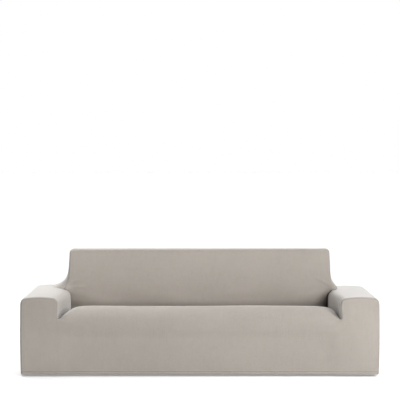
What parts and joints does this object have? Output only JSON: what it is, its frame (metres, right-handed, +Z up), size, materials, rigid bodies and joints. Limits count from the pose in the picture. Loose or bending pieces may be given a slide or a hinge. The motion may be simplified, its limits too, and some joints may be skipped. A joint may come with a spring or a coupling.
{
  "type": "sofa slipcover",
  "caption": "Stretch-knit slipcover pulled smooth over a long boxy sofa with a low back and wide arms, open at the bottom, with a plain turned-up hem.",
  "frame": {"origin": "middle of the underside of the backrest's top, where the sofa that wears the cover holds it up", "axes": "+X to the right as seen from the front, +Y to the rear, +Z up; the hem hangs 0.783 m below the origin and about 15 mm above the floor"},
  "size_m": [2.423, 0.933, 0.791],
  "materials": {
    "stretch_knit": "matt fine-gauge stretch knit, light taupe grey, faint sheen at grazing angles"
  },
  "bodies": {
    "root": {"seat_front_panel": "stretch_knit", "arm_panel_left": "stretch_knit", "arm_panel_right": "stretch_knit", "inside_back_panel": "stretch_knit", "outside_back_panel": "stretch_knit"}
  },
  "joints": []
}
